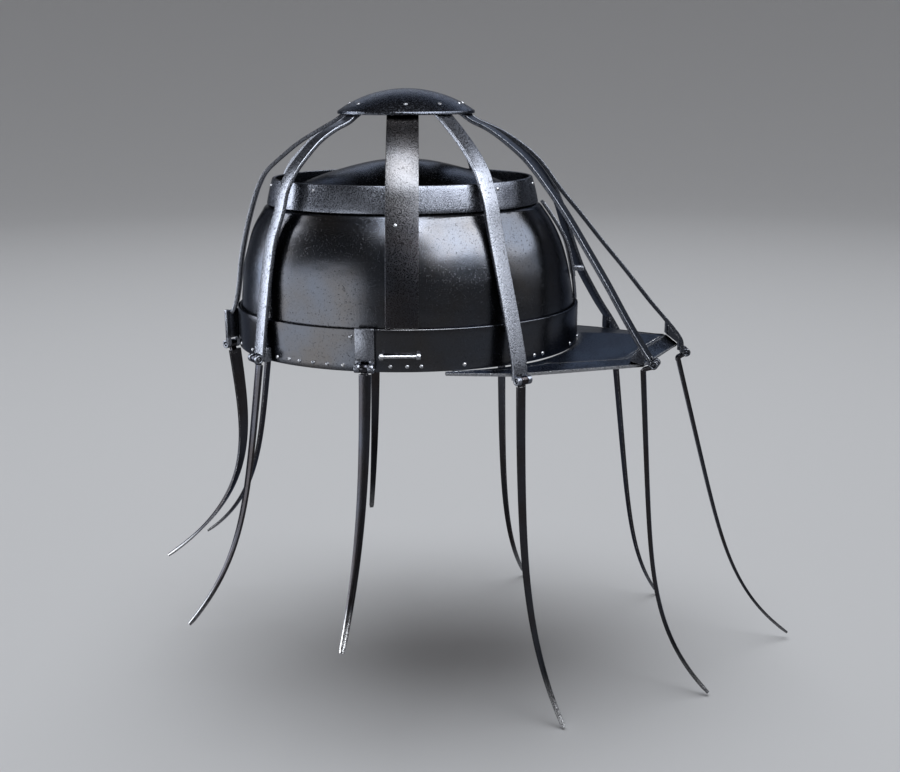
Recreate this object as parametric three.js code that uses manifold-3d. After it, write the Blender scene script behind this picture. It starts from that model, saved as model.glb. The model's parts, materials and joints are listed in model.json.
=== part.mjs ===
// Spider helmet: a domed steel skull inside an open cage of steel strips, with a
// faceted peak and ten curved bars that hang from hinges round the rim.
// Millimetres, +Z up, the peak towards -Y, the wearer's right side towards -X.
// The origin is the centre of the head opening, in the plane of the band's lower edge.

import * as THREE from 'three';
import { mergeVertices } from 'three/addons/utils/BufferGeometryUtils.js';
import Module from 'manifold-3d';

const wasm = await Module();
wasm.setup();

// Driving dimensions
const GAP = 0.3;
const ROUND = 48;
const SHEET = 2.0;

const BAND = { halfLength: 115, halfWidth: 98, height: 26.5, wall: 2.5 };
const RING = { halfLength: 90.3, halfWidth: 80, low: 93.4, high: 110, wall: 2.2, centreY: 2.9 };
const DISC = { radius: 45.7, edge: 151, rise: 15.4, wall: 1.6, rings: 8, sides: 36 };
const STRIP = { width: 11, thick: 2.5, steps: 30 };
const STRAP = { width: 20, centreY: 4 };
const HINGE = { barrel: 2.8, pin: 1.2, pinInset: 0.5, bore: 1.5, slot: 5.0, knuckle: 4.4, standOff: 3.2 };
const BLADE = { thick: 3.0, tipThick: 2.0, shoulder: 4.2, steps: 18, narrowing: 0.52, narrowingPower: 1.3 };

// Corners of a bar's section, as shares of its half width and half thickness
const BLADE_SECTION = [[-1, -1], [1, -1], [1, 0.2], [0.5, 1], [-0.5, 1], [-1, 0.2]];

// Neck between a bar's knuckle and its blade, measured from the pin and from the shoulder
const NECK = { front: 1.2, back: 1.6, knee: 2.2, kneeDrop: 2.4, half: 1.4, above: 0.4, below: 1.2 };

// Skull profile from the rim to the crown: height and half length of each level
const SKULL = [
  { z: 0.6, half: 112.2 },
  { z: 27, half: 112.2 },
  { z: 42, half: 110.4 },
  { z: 55, half: 108.3 },
  { z: 66, half: 105.2 },
  { z: 75, half: 101.6 },
  { z: 82, half: 98.0 },
  { z: 88, half: 94.0 },
  { z: 91.5, half: 91.4 },
  { z: 93, half: 86.6 },
  { z: 99, half: 76 },
  { z: 105, half: 64 },
  { z: 111, half: 50 },
  { z: 116.5, half: 33 },
  { z: 120, half: 17 },
  { z: 121.6, half: 0 },
];
const SKULL_WALL = 1.8;
const SHOULDER_HALF = 92;
const CROWN_WALL = { inset: 0.8, drop: 1 };
const SIDE_WALL = { inset: 1, drop: 0.4 };
const RATIO = { rim: 0.8485, ring: 0.886 };

// Centre line of every strip: distance from the disc's axis and height
const UNDER_DISC = [[30, 156.2], [41, 149.8], [47, 145.8]];
const STRAP_UNDER_DISC = [[31, 154], [40, 148.4], [47, 143.6]];
const STRIP_PATHS = {
  front: [[61.5, 139.4], [75, 130.9], [88, 119.7], [102, 101.2], [116, 84.5], [131, 66], [148, 45.8],
    [165.5, 24.2], [178.6, 9.2], [186.8, -1.5], [188.2, -8.7]],
  frontRight: [[58, 140.8], [69.4, 133.2], [82.9, 121.9], [96.4, 105.9], [109.9, 87.4], [123.5, 66.3],
    [137.2, 44.6], [150.9, 21.5], [162.8, 3], [166.4, -2.1]],
  frontLeft: [[58, 141.4], [72, 134.4], [87, 124.6], [99.6, 113], [107.7, 101.6], [114.8, 87.8],
    [121.4, 70], [128, 53], [134.8, 38.2], [148.7, 15.6], [159, 1], [165.2, -9]],
  corner: [[60.3, 136.2], [70.8, 127.2], [79.6, 117.2], [84.4, 108], [88.5, 98.5], [92.5, 84], [96.3, 71.5],
    [103.9, 48], [111.2, 24.8], [116.6, 5], [117.6, -2.7]],
  rearSide: [[57, 141.6], [67.5, 135.4], [76.4, 127.6], [86, 117.2], [92.7, 105.8], [96, 94], [99.6, 84.2],
    [103, 75], [106.6, 57.5], [109.6, 38.9], [112.4, 20.1], [114.4, 5.4]],
  rearLeft: [[57, 141.6], [67.5, 135.4], [76.4, 127.6], [87.6, 117.2], [94.8, 105.8], [98.4, 94], [101.2, 84],
    [105, 73], [108.4, 57.5], [111.3, 38.9], [113, 20.1], [114, 5.4]],
  rear: [[57, 140.2], [70, 132.5], [81.5, 123.6], [92, 114.3], [97.2, 106], [101.4, 95.5], [107, 77],
    [111.6, 57], [114, 40], [116, 29], [118.2, 22], [118.4, 0.5]],
};
const STRAP_PATH = [[57, 137.6], [67.5, 129.5], [76, 120.2], [81.9, 110.4], [85.6, 99], [90, 83],
  [94.8, 62], [96.6, 44], [96.75, 33], [96.75, 27.1]];

// Hinged bars: azimuth counts from the front towards the wearer's right, in degrees.
// A bar starts its crank inside the hinge, leans and flares out, and may lean sideways.
// The turn is how far a hinge is turned from the strip above it.
const BARS = [
  { name: 'front', azimuth: 0, path: 'front', drop: 216, crank: 4.7, lean: 58, flare: 33.6, bend: 6.5,
    side: 0, width: 4.6, turn: 0 },
  { name: 'front_right', azimuth: 22, path: 'frontRight', drop: 225, crank: 7.2, lean: 16, flare: 36.6,
    bend: 6, side: 0, width: 6, turn: 0 },
  { name: 'front_left', azimuth: -22, path: 'frontLeft', drop: 219, crank: 4, lean: 28, flare: 21,
    bend: 6.5, side: 0, width: 6, turn: 0 },
  { name: 'corner_right', azimuth: 55, path: 'corner', drop: 225, crank: 1.2, lean: 2, flare: 31,
    bend: 4.6, side: -11, width: 6.4, turn: 0 },
  { name: 'corner_left', azimuth: -53.5, path: 'corner', drop: 223, crank: 1.2, lean: 3, flare: 30,
    bend: 5.2, side: 3, width: 6.4, turn: 0 },
  { name: 'rear_right', azimuth: 145, path: 'rearSide', drop: 167, crank: 2, lean: 24, flare: 33, bend: 5,
    side: 2, width: 6.4, turn: 0 },
  { name: 'rear_left', azimuth: -152, path: 'rearLeft', drop: 176, crank: 2, lean: 25, flare: 43, bend: 5,
    side: 0, width: 6.4, turn: 0 },
  { name: 'rear', azimuth: 180, path: 'rear', drop: 155, crank: 1.6, lean: -14.5, flare: 69, bend: 3.4,
    side: 0, width: 9.4, turn: -42 },
];
const SIDE_BARS = [
  { name: 'side_right', sign: 1, drop: 166, crank: 1.2, lean: 15, flare: 32, bend: 3.5, side: 7,
    width: 7.4, turn: 0 },
  { name: 'side_left', sign: -1, drop: 174, crank: 1.2, lean: 8, flare: 19, bend: 2.5, side: -2,
    width: 7.4, turn: 0 },
];
const PLATE = { azimuth: 101, centreY: 26, high: 27.4, width: 12, thick: 2.4, axisZ: 3.4, clear: 0.5 };
const FOOT_BLOCK = { high: 9, low: 0.6, clear: 0.7 };
const TURNED_FOOT = { stripEnd: 20, top: 22 };

// Wedges behind the feet of the strips that stand on the peak
const WEDGES = {
  front: [[177.6, 0.9], [177.6, 8.6], [181.4, 6], [186, -1.5], [184.8, -4.4], [178.2, 0.8]],
  frontRight: [[154, -2.9], [159.4, 6.4], [164.4, -1], [162.3, -4.9], [154.4, -3]],
  frontLeft: [[157, -7.2], [157, 3], [159, 1.4], [163.4, -7.5], [161.6, -9.0]],
};

// Peak: outer edge and fold line of each corner on the right side, top surface heights
const PEAK = [
  { azimuth: 77, edge: 100.6, edgeZ: -0.6, fold: 99.6, foldZ: -0.2, rootZ: 0 },
  { azimuth: 55, edge: 114.8, edgeZ: -2.6, fold: 107.5, foldZ: -1.2, rootZ: -0.6 },
  { azimuth: 40, edge: 128, edgeZ: -3.6, fold: 114, foldZ: -1.2, rootZ: -0.6 },
  { azimuth: 22, edge: 162.6, edgeZ: -5.6, fold: 151, foldZ: -3, rootZ: 0.4 },
  { azimuth: 0, edge: 186.2, edgeZ: -6.4, fold: 178, foldZ: 0.2, rootZ: 2.8 },
];
const PEAK_STEPS = 5;
const PEAK_CLEAR = 0.4;
const WING_AZIMUTH = 70;
const ROOT_AZIMUTH = 50;
const LEFT_DROOP = { edge: 4.5, fold: 2.7, root: 2.2 };

// Bar before the skull: a wide part, a narrow stem and a lug
const FRONT_BAR = {
  width: 16,
  path: [[90.4, 92.4], [96.6, 83.6], [102.4, 74.5], [107, 65], [109.9, 54], [111.9, 43]],
  stemWidth: 6,
  stem: [[111.7, 44], [112.9, 36], [113.7, 27.2]],
  lug: { size: [5, 9, 3.4], at: [0, 114.6, 47.5] },
};

// Rod on the right side of the band: route of (x, y) at one height
const STAPLE = {
  radius: 1.2,
  height: 10.4,
  route: [[-97.9, 18.4], [-99.7, 17.9], [-100.6, 15.5], [-100.6, 6], [-100.6, -4.5], [-99.9, -7.4],
    [-98.7, -8.2]],
};

// Materials
const steel = (color, roughness, metalness = 0.85) =>
  new THREE.MeshStandardMaterial({ color, roughness, metalness });
const SKULL_STEEL = steel(0x24272c, 0.32);
const STRIP_STEEL = steel(0x2b2c30, 0.45);
const BAR_STEEL = steel(0x232427, 0.38);
const PEAK_STEEL = steel(0x26282c, 0.42);

// Geometry with merged corners, no needle triangles and faces pointing out
function closed(geometry) {
  geometry.deleteAttribute('uv');
  geometry.deleteAttribute('normal');
  const merged = mergeVertices(geometry, 1e-4);
  const from = merged.index.array;
  const kept = [];
  for (let i = 0; i < from.length; i += 3) {
    const [a, b, c] = [from[i], from[i + 1], from[i + 2]];
    if (a !== b && b !== c && c !== a) kept.push(a, b, c);
  }
  if (volumeOf(merged.attributes.position, kept) < 0) kept.reverse();
  merged.setIndex(kept);
  return merged;
}

function volumeOf(position, index) {
  const [a, b, c] = [new THREE.Vector3(), new THREE.Vector3(), new THREE.Vector3()];
  let six = 0;
  for (let i = 0; i < index.length; i += 3) {
    a.fromBufferAttribute(position, index[i]);
    b.fromBufferAttribute(position, index[i + 1]);
    c.fromBufferAttribute(position, index[i + 2]);
    six += a.dot(b.cross(c));
  }
  return six / 6;
}

function toSolid(geometry) {
  const clean = closed(geometry);
  return new wasm.Manifold(new wasm.Mesh({
    numProp: 3,
    vertProperties: new Float32Array(clean.attributes.position.array),
    triVerts: new Uint32Array(clean.index.array),
  }));
}

function fromSolid(solid) {
  const mesh = solid.getMesh();
  const geometry = new THREE.BufferGeometry();
  geometry.setAttribute('position', new THREE.BufferAttribute(mesh.vertProperties, 3));
  geometry.setIndex(new THREE.BufferAttribute(mesh.triVerts, 1));
  return geometry;
}

// Cylinder along X
function rod(radius, length, at, sides = 16) {
  const geometry = new THREE.CylinderGeometry(radius, radius, length, sides);
  geometry.rotateZ(Math.PI / 2);
  geometry.translate(...at);
  return geometry;
}

function block(size, at) {
  const geometry = new THREE.BoxGeometry(...size);
  geometry.translate(...at);
  return geometry;
}

// Outline in (outward, up), given a width along X, centred on X = 0
function slab(outline, width) {
  const shape = new THREE.Shape(outline.map(([out, up]) => new THREE.Vector2(out, up)));
  const geometry = new THREE.ExtrudeGeometry(shape, { depth: width, bevelEnabled: false, steps: 1 });
  const basis = new THREE.Matrix4().makeBasis(
    new THREE.Vector3(0, 1, 0), new THREE.Vector3(0, 0, 1), new THREE.Vector3(1, 0, 0));
  geometry.applyMatrix4(basis);
  geometry.translate(-width / 2, 0, 0);
  return geometry;
}

// Outline of a flat bar of one thickness that follows a smooth path
function barOutline(path, thick, steps) {
  const curve = new THREE.SplineCurve(path.map(([out, up]) => new THREE.Vector2(out, up)));
  const outer = [];
  const inner = [];
  for (let i = 0; i <= steps; i += 1) {
    const point = curve.getPoint(i / steps);
    const along = curve.getTangent(i / steps);
    const across = [-along.y * thick / 2, along.x * thick / 2];
    outer.push([point.x + across[0], point.y + across[1]]);
    inner.unshift([point.x - across[0], point.y - across[1]]);
  }
  return [...outer, ...inner];
}

// A piece made facing +Y turned so that it faces an azimuth
function facing(azimuth, node) {
  const group = new THREE.Group();
  group.rotation.z = Math.PI - THREE.MathUtils.degToRad(azimuth);
  group.add(node);
  return group;
}

const named = (name, geometry, material) => {
  const mesh = new THREE.Mesh(geometry, material);
  mesh.name = name;
  return mesh;
};

function ellipse(halfWidth, halfLength, centreY) {
  const points = [];
  for (let i = 0; i < ROUND; i += 1) {
    const turn = i / ROUND * 2 * Math.PI;
    points.push(new THREE.Vector2(halfWidth * Math.cos(turn), centreY + halfLength * Math.sin(turn)));
  }
  return points;
}

function hoop({ halfLength, halfWidth, wall, centreY = 0 }, low, high) {
  const shape = new THREE.Shape(ellipse(halfWidth, halfLength, centreY));
  shape.holes.push(new THREE.Path(ellipse(halfWidth - wall, halfLength - wall, centreY)));
  const geometry = new THREE.ExtrudeGeometry(shape, { depth: high - low, bevelEnabled: false, steps: 1 });
  geometry.translate(0, 0, low);
  return closed(geometry);
}

// Skull: a lathe shell squeezed in width and moved back level by level
function levelOf(z) {
  const climb = THREE.MathUtils.clamp((z - BAND.height) / (RING.low - BAND.height), 0, 1);
  return {
    ratio: THREE.MathUtils.lerp(RATIO.rim, RATIO.ring, climb),
    shift: RING.centreY * climb,
  };
}

function skull() {
  const outer = SKULL.map(({ z, half }) => new THREE.Vector2(half, z));
  const inner = SKULL.map(({ z, half }, i) => {
    const wall = half < SHOULDER_HALF ? CROWN_WALL : SIDE_WALL;
    const drop = i === 0 ? 0 : SKULL_WALL * wall.drop;
    return new THREE.Vector2(half === 0 ? 0 : half - SKULL_WALL * wall.inset, z - drop);
  }).reverse();
  const geometry = new THREE.LatheGeometry([...outer, ...inner, outer[0].clone()], ROUND);
  geometry.rotateX(Math.PI / 2);
  const at = geometry.attributes.position;
  for (let i = 0; i < at.count; i += 1) {
    const { ratio, shift } = levelOf(at.getZ(i));
    at.setX(i, at.getX(i) * ratio);
    at.setY(i, at.getY(i) + shift);
  }
  return closed(geometry);
}

function disc() {
  const sphere = (DISC.radius ** 2 + DISC.rise ** 2) / (2 * DISC.rise);
  const centre = DISC.edge + DISC.rise - sphere;
  const outer = [];
  const inner = [];
  for (let i = 0; i <= DISC.rings; i += 1) {
    const radius = DISC.radius * i / DISC.rings;
    const height = (ball) => centre + Math.sqrt(ball ** 2 - radius ** 2);
    outer.push(new THREE.Vector2(radius, height(sphere)));
    inner.unshift(new THREE.Vector2(radius, height(sphere - DISC.wall)));
  }
  const geometry = new THREE.LatheGeometry([...outer, ...inner, outer[0].clone()], DISC.sides);
  geometry.rotateX(Math.PI / 2);
  return closed(geometry);
}

// Where a strip's hinge axis lies, from the lower end of its path
const axisOf = (path) => {
  const [out, up] = path[path.length - 1];
  return { out: out + HINGE.standOff, up: up - HINGE.barrel };
};

// Solid turned about the upright line through the middle of a hinge
function hingeSolid(geometry, axis, turn) {
  geometry.translate(0, -axis.out, 0);
  geometry.rotateZ(THREE.MathUtils.degToRad(turn));
  geometry.translate(0, axis.out, 0);
  return toSolid(geometry);
}

// Barrel with a slot for the bar's knuckle and a pin through it
function withBarrel(body, axis, width, turn = 0) {
  const at = [0, axis.out, axis.up];
  const wide = HINGE.barrel * 2 + 2 * GAP;
  return body
    .add(hingeSolid(rod(HINGE.barrel, width, at), axis, turn))
    .subtract(hingeSolid(block([HINGE.slot, wide, wide + 1], at), axis, turn))
    .add(hingeSolid(rod(HINGE.pin, width - 2 * HINGE.pinInset, at, 12), axis, turn));
}

function strip(bar) {
  const path = [...UNDER_DISC, ...STRIP_PATHS[bar.path]];
  const axis = axisOf(path);
  const face = axis.out - HINGE.standOff;
  const centreLine = bar.turn === 0 ? [...path, [face, axis.up]]
    : [...path.slice(0, -1), [face + STRIP.thick / 2, TURNED_FOOT.stripEnd]];
  const outline = barOutline(centreLine, STRIP.thick, STRIP.steps);
  let body = toSolid(slab(outline, STRIP.width));
  if (bar.turn !== 0) {
    body = body.add(hingeSolid(block([STRIP.width, STRIP.thick, TURNED_FOOT.top - axis.up],
      [0, face + STRIP.thick / 2, (TURNED_FOOT.top + axis.up) / 2]), axis, bar.turn));
  } else if (bar.path.startsWith('rear')) {
    const deep = face - bandRadius(bar.azimuth, FOOT_BLOCK.clear);
    body = body.add(toSolid(block([STRIP.width, deep, FOOT_BLOCK.high],
      [0, face - deep / 2, FOOT_BLOCK.low + FOOT_BLOCK.high / 2])));
  }
  if (WEDGES[bar.path]) body = body.add(toSolid(slab(WEDGES[bar.path], STRIP.width)));
  return fromSolid(withBarrel(body, axis, STRIP.width, bar.turn));
}

// Bar: a bevelled blade that hangs from its knuckle, then flares out and tapers
function blade(bar, axis) {
  const rows = [];
  for (let i = 0; i <= BLADE.steps; i += 1) {
    const t = i / BLADE.steps;
    const width = bar.width * (1 - BLADE.narrowing * t ** BLADE.narrowingPower) / 2;
    const thick = THREE.MathUtils.lerp(BLADE.thick, BLADE.tipThick, t) / 2;
    const down = BLADE.shoulder + (bar.drop - BLADE.shoulder) * t;
    const out = bar.lean * t + bar.flare * t ** bar.bend - bar.crank;
    const slope = (bar.lean + bar.flare * bar.bend * t ** (bar.bend - 1)) / bar.drop;
    const turn = Math.atan(slope);
    const twist = THREE.MathUtils.degToRad(bar.turn) * Math.cos(t * Math.PI / 2);
    rows.push(BLADE_SECTION.map(([x, y]) => {
      const across = x * width * Math.cos(twist) - y * thick * Math.sin(twist);
      const outward = x * width * Math.sin(twist) + y * thick * Math.cos(twist);
      return [
        across + bar.side * t ** 2,
        axis.out + out + outward * Math.cos(turn),
        axis.up - down + outward * Math.sin(turn),
      ];
    }));
  }
  return loft(rows);
}

// Closed body through rows of points, each row one section
function loft(rows) {
  const sides = rows[0].length;
  const points = rows.flat();
  const index = [];
  for (let r = 0; r + 1 < rows.length; r += 1) {
    for (let s = 0; s < sides; s += 1) {
      const a = r * sides + s;
      const b = r * sides + (s + 1) % sides;
      index.push(a, b, a + sides, b, b + sides, a + sides);
    }
  }
  const last = (rows.length - 1) * sides;
  for (let s = 1; s + 1 < sides; s += 1) {
    index.push(0, s + 1, s, last, last + s, last + s + 1);
  }
  const geometry = new THREE.BufferGeometry();
  geometry.setAttribute('position', new THREE.Float32BufferAttribute(points.flat(), 3));
  geometry.setIndex(index);
  return closed(geometry);
}

function hangingBar(bar, axis) {
  const at = [0, axis.out, axis.up];
  const bladeOut = axis.out - bar.crank;
  const shoulderUp = axis.up - BLADE.shoulder;
  const neck = slab([
    [axis.out + NECK.front, axis.up], [axis.out - NECK.back, axis.up],
    [axis.out - NECK.knee, axis.up - NECK.kneeDrop],
    [bladeOut - NECK.half, shoulderUp + NECK.above],
    [bladeOut - NECK.half, shoulderUp - NECK.below],
    [bladeOut + NECK.half, shoulderUp - NECK.below],
  ], HINGE.knuckle);
  const solid = toSolid(blade(bar, axis))
    .add(hingeSolid(neck, axis, bar.turn))
    .add(hingeSolid(rod(HINGE.barrel, HINGE.knuckle, at), axis, bar.turn))
    .subtract(hingeSolid(rod(HINGE.bore, HINGE.knuckle + 2, at), axis, bar.turn));
  return fromSolid(solid);
}

// Side strap: a wide bar from under the disc to the top of the band
function sideStrap() {
  const outline = barOutline([...STRAP_UNDER_DISC, ...STRAP_PATH], STRIP.thick, STRIP.steps);
  return closed(slab(outline, STRAP.width));
}

// Hinge plate on the side of the band
function hingePlate(axis) {
  const face = axis.out - HINGE.standOff;
  const body = toSolid(block([PLATE.width, PLATE.thick, PLATE.high - axis.up],
    [0, face, (PLATE.high + axis.up) / 2]));
  return fromSolid(withBarrel(body, axis, PLATE.width));
}

function bandRadius(azimuth, grow = 0) {
  const turn = THREE.MathUtils.degToRad(azimuth);
  return 1 / Math.hypot(
    Math.sin(turn) / (BAND.halfWidth + grow), Math.cos(turn) / (BAND.halfLength + grow));
}

const polar = (azimuth, radius, z) => {
  const turn = THREE.MathUtils.degToRad(azimuth);
  return new THREE.Vector3(-radius * Math.sin(turn), -radius * Math.cos(turn), z);
};

// Peak: three lines of points from wing to wing, at the band, the fold and the edge
function peak() {
  const left = PEAK.slice(0, -1).reverse().map((corner) => ({
    ...corner,
    azimuth: -corner.azimuth,
    edgeZ: corner.edgeZ - LEFT_DROOP.edge * (corner.azimuth < WING_AZIMUTH ? 1 : 0),
    foldZ: corner.foldZ - LEFT_DROOP.fold * (corner.azimuth < WING_AZIMUTH ? 1 : 0),
    rootZ: corner.rootZ - LEFT_DROOP.root * (corner.azimuth < ROOT_AZIMUTH ? 1 : 0),
  }));
  const corners = [...PEAK, ...left];
  const rows = [];
  for (let c = 0; c + 1 < corners.length; c += 1) {
    for (let s = 0; s < PEAK_STEPS; s += 1) rows.push(peakRow(corners[c], corners[c + 1], s / PEAK_STEPS));
  }
  rows.push(peakRow(corners.at(-2), corners.at(-1), 1));
  return loft(rows);
}

function peakRow(from, to, t) {
  const edge = polar(from.azimuth, from.edge, from.edgeZ).lerp(polar(to.azimuth, to.edge, to.edgeZ), t);
  const fold = polar(from.azimuth, from.fold, from.foldZ).lerp(polar(to.azimuth, to.fold, to.foldZ), t);
  const azimuth = THREE.MathUtils.radToDeg(Math.atan2(-edge.x, -edge.y));
  const rootZ = THREE.MathUtils.lerp(from.rootZ, to.rootZ, t);
  const root = polar(azimuth, bandRadius(azimuth, PEAK_CLEAR), rootZ);
  const top = [root, fold, edge];
  const under = [edge, fold, root].map((p) => new THREE.Vector3(p.x, p.y, p.z - SHEET));
  return [...top, ...under].map((p) => [p.x, p.y, p.z]);
}

// Bar that stands in front of the skull, from the ring down to the band, with a lug
function frontBar() {
  const wide = toSolid(slab(barOutline(FRONT_BAR.path, SHEET, 14), FRONT_BAR.width));
  const stem = toSolid(slab(barOutline(FRONT_BAR.stem, SHEET, 6), FRONT_BAR.stemWidth));
  const lug = toSolid(block(FRONT_BAR.lug.size, FRONT_BAR.lug.at));
  return fromSolid(wide.add(stem).add(lug));
}

// Staple on the right side of the band
function staple() {
  const route = new THREE.CatmullRomCurve3(
    STAPLE.route.map(([x, y]) => new THREE.Vector3(x, y, STAPLE.height)));
  const section = new THREE.Shape(roundSection(STAPLE.radius, 10));
  return closed(new THREE.ExtrudeGeometry(section, { steps: 24, extrudePath: route, bevelEnabled: false }));
}

function roundSection(radius, sides) {
  const points = [];
  for (let i = 0; i < sides; i += 1) {
    const turn = i / sides * 2 * Math.PI;
    points.push(new THREE.Vector2(radius * Math.cos(turn), radius * Math.sin(turn)));
  }
  return points;
}

// Assembly
const helmet = new THREE.Group();
helmet.add(named('skull', skull(), SKULL_STEEL));
helmet.add(named('brow_band', hoop(BAND, 0, BAND.height), SKULL_STEEL));
helmet.add(named('upper_ring', hoop(RING, RING.low, RING.high), STRIP_STEEL));
helmet.add(named('top_disc', disc(), STRIP_STEEL));
helmet.add(named('peak', peak(), PEAK_STEEL));
helmet.add(facing(0, named('front_bar', frontBar(), STRIP_STEEL)));
helmet.add(named('side_staple', staple(), STRIP_STEEL));

for (const [side, azimuth] of [['right', 90], ['left', -90]]) {
  const strap = facing(azimuth, named(`strap_${side}`, sideStrap(), STRIP_STEEL));
  strap.position.y = STRAP.centreY;
  helmet.add(strap);
}

for (const bar of BARS) {
  const axis = axisOf(STRIP_PATHS[bar.path]);
  helmet.add(facing(bar.azimuth, named(`strip_${bar.name}`, strip(bar), STRIP_STEEL)));
  helmet.add(facing(bar.azimuth, named(`bar_${bar.name}`, hangingBar(bar, axis), BAR_STEEL)));
}

for (const bar of SIDE_BARS) {
  const azimuth = PLATE.azimuth * bar.sign;
  const turn = THREE.MathUtils.degToRad(PLATE.azimuth);
  const surfaceX = BAND.halfWidth * Math.sqrt(1 - (PLATE.centreY / BAND.halfLength) ** 2);
  const face = surfaceX * Math.sin(turn) - PLATE.centreY * Math.cos(turn) + PLATE.clear + PLATE.thick / 2;
  const axis = { out: face + HINGE.standOff, up: PLATE.axisZ };
  const across = (surfaceX * Math.cos(turn) + PLATE.centreY * Math.sin(turn)) * bar.sign;
  const plate = facing(azimuth, named(`plate_${bar.name}`, hingePlate(axis), STRIP_STEEL));
  const hung = facing(azimuth, named(`bar_${bar.name}`, hangingBar(bar, axis), BAR_STEEL));
  for (const group of [plate, hung]) {
    group.children[0].position.x = across;
    helmet.add(group);
  }
}

export default helmet;
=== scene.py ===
# %% [markdown]
# # A spider helmet in dark steel
#
# The helmet is a domed steel bowl inside an open cage of forged strips. A faceted peak stands out over
# the brow, and ten curved bars hang on hinges round the rim. Each lesson below makes one kind of piece.
# Lengths are written in millimetres, as a smith would measure them, and each mesh is brought to metres
# when it is finished.

# %% Packed model
import json
import math

import bmesh
import bpy
from mathutils import Matrix, Vector


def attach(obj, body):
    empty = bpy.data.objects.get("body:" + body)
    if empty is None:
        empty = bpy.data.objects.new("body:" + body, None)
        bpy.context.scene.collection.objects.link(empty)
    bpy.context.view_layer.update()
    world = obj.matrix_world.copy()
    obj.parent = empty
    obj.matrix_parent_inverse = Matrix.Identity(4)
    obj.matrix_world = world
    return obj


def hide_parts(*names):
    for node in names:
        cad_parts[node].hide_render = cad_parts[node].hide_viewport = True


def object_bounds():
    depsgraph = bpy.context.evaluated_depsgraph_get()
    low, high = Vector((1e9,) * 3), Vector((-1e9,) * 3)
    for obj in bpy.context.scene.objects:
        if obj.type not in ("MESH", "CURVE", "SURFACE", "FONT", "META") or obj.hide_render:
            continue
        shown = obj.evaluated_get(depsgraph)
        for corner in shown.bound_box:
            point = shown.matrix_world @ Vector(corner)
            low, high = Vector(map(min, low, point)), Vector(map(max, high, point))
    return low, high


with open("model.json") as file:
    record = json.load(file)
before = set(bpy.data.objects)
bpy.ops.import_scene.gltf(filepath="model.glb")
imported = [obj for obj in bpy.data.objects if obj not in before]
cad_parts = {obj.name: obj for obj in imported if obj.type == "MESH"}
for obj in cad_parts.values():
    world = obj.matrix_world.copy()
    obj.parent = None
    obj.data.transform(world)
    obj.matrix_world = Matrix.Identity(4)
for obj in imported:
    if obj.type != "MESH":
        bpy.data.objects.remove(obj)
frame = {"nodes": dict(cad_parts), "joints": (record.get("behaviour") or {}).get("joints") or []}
CAD_BOX = [list(corner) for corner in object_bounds()]
MM = 0.001
HINGE_LINES = {joint["name"][:-len("_swing")]: joint for joint in frame["joints"]}
print("frame with", len(frame["nodes"]), "nodes and", len(HINGE_LINES), "hinges")

# %% [markdown]
# ## Camera
#
# The picture was taken from the wearer's right, a little above the brow. A camera can be aimed with a
# constraint, but here its three axes are worked out from yaw, pitch and roll, so it never moves again.

# %% Camera
CAMERA = {"place": (-0.7802, -0.0041, 0.1716), "yaw": -1.75, "pitch": 14.8, "roll": -0.24, "lens": 46.38}


def stand_camera():
    """Stands the camera where the photograph was taken from."""
    yaw, pitch, roll = (math.radians(CAMERA[key]) for key in ("yaw", "pitch", "roll"))
    ahead = Vector((math.cos(pitch) * math.cos(yaw), math.cos(pitch) * math.sin(yaw), -math.sin(pitch)))
    right = ahead.cross(Vector((0, 0, 1))).normalized()
    up = right.cross(ahead)
    turned_right = right * math.cos(roll) + up * math.sin(roll)
    turned_up = up * math.cos(roll) - right * math.sin(roll)
    camera = bpy.data.objects.new("camera", bpy.data.cameras.new("camera"))
    camera.data.lens = CAMERA["lens"]
    camera.matrix_world = Matrix.Translation(CAMERA["place"]) @ Matrix(
        (turned_right, turned_up, -ahead)).transposed().to_4x4()
    bpy.context.scene.collection.objects.link(camera)
    bpy.context.scene.camera = camera


stand_camera()
print("camera lens", CAMERA["lens"], "mm")

# %% [markdown]
# ## Dark steel
#
# The steel is oiled and nearly black, with fine pits, faint scratches and brighter edges where hands and
# cloth have rubbed it. A painted highlight lifts the colour too, where a piece asks for one. An image could
# carry all that, but nodes on Object coordinates keep one scale on every piece. The Bevel node compares its
# rounded normal with the real one, which finds the edges. A tint darkens what the steel mirrors at a
# grazing angle, as a film of old oil does.

# %% Dark steel
# bright steel, for wear on edges and tips and for the painted highlight at the straps' bend
BRIGHT_WEAR_AND_SHEEN = (0.60, 0.60, 0.61, 1)
PIT_BLACK = (0.008, 0.008, 0.009, 1)
GRAZING_TINT = (0.44, 0.46, 0.51, 1)
GRAIN_LIFT = 1.7
CLOUD_SCALE, SCRATCH_SCALE, PIT_SCALE = 30, 420, 0.55  # the last is a share of the speckle's scale
SCRATCH_STRETCH = (0.12, 1, 0.9)
RANGES = {"edge": (0.96, 0.80), "cloud": (0.34, 0.68), "grain": (0.42, 0.66), "pit": (0.60, 0.68),
          "scratch": (0.66, 0.72), "gloss": (0.35, 0.7), "spots": (0.38, 0.56, 0.45, 1.0)}
SHARE = {"grain": 0.5, "dull_pit": 0.25, "dull_worn": 0.15, "scratch": 0.10}
BUMP = {"least": 0.02, "pits": 0.3, "deep": 0.0003}


def link(tree, source, output, target, entry):
    """Joins an output of one node to an input of another."""
    tree.links.new(source.outputs[output], target.inputs[entry])


def noise_of(tree, coordinates, scale, detail, stretch=(1, 1, 1)):
    """Noise on the piece's own coordinates, stretched along an axis if asked."""
    mapping = tree.nodes.new("ShaderNodeMapping")
    mapping.inputs["Scale"].default_value = stretch
    noise = tree.nodes.new("ShaderNodeTexNoise")
    noise.inputs["Scale"].default_value = scale
    noise.inputs["Detail"].default_value = detail
    link(tree, coordinates, "Object", mapping, "Vector")
    link(tree, mapping, "Vector", noise, "Vector")
    return noise


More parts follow.
